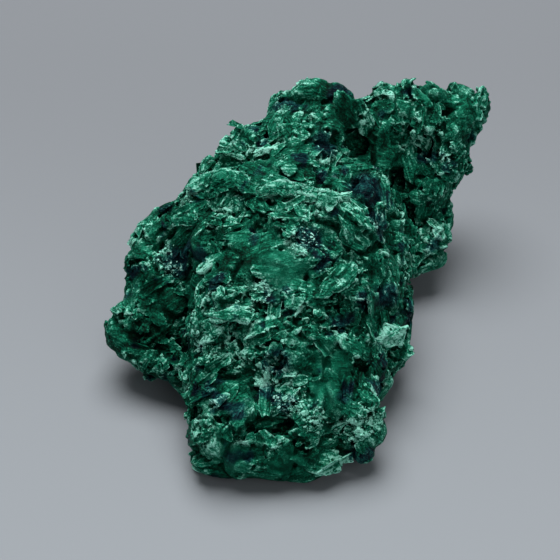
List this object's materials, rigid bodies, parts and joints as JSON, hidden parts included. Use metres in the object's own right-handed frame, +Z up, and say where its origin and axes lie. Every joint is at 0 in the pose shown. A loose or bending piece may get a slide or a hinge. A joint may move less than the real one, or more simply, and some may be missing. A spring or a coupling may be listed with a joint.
{
  "type": "mineral specimen",
  "caption": "Loose chunk of fibrous malachite with grown-together lobes, a blunt foot, a low side lobe and an upright wing, resting on its worn underside.",
  "frame": {"origin": "middle of the stone's box, at the level of the worn flats it rests on", "axes": "+Z up, -Y towards the blunt foot in front, +X towards the upright wing, which stands at the back right"},
  "size_m": [0.0824, 0.087, 0.0481],
  "materials": {
    "malachite": "rough fibrous growth, silky green with pale mint edges and near-black recesses"
  },
  "bodies": {
    "root": {"malachite_chunk": "malachite"}
  },
  "joints": []
}
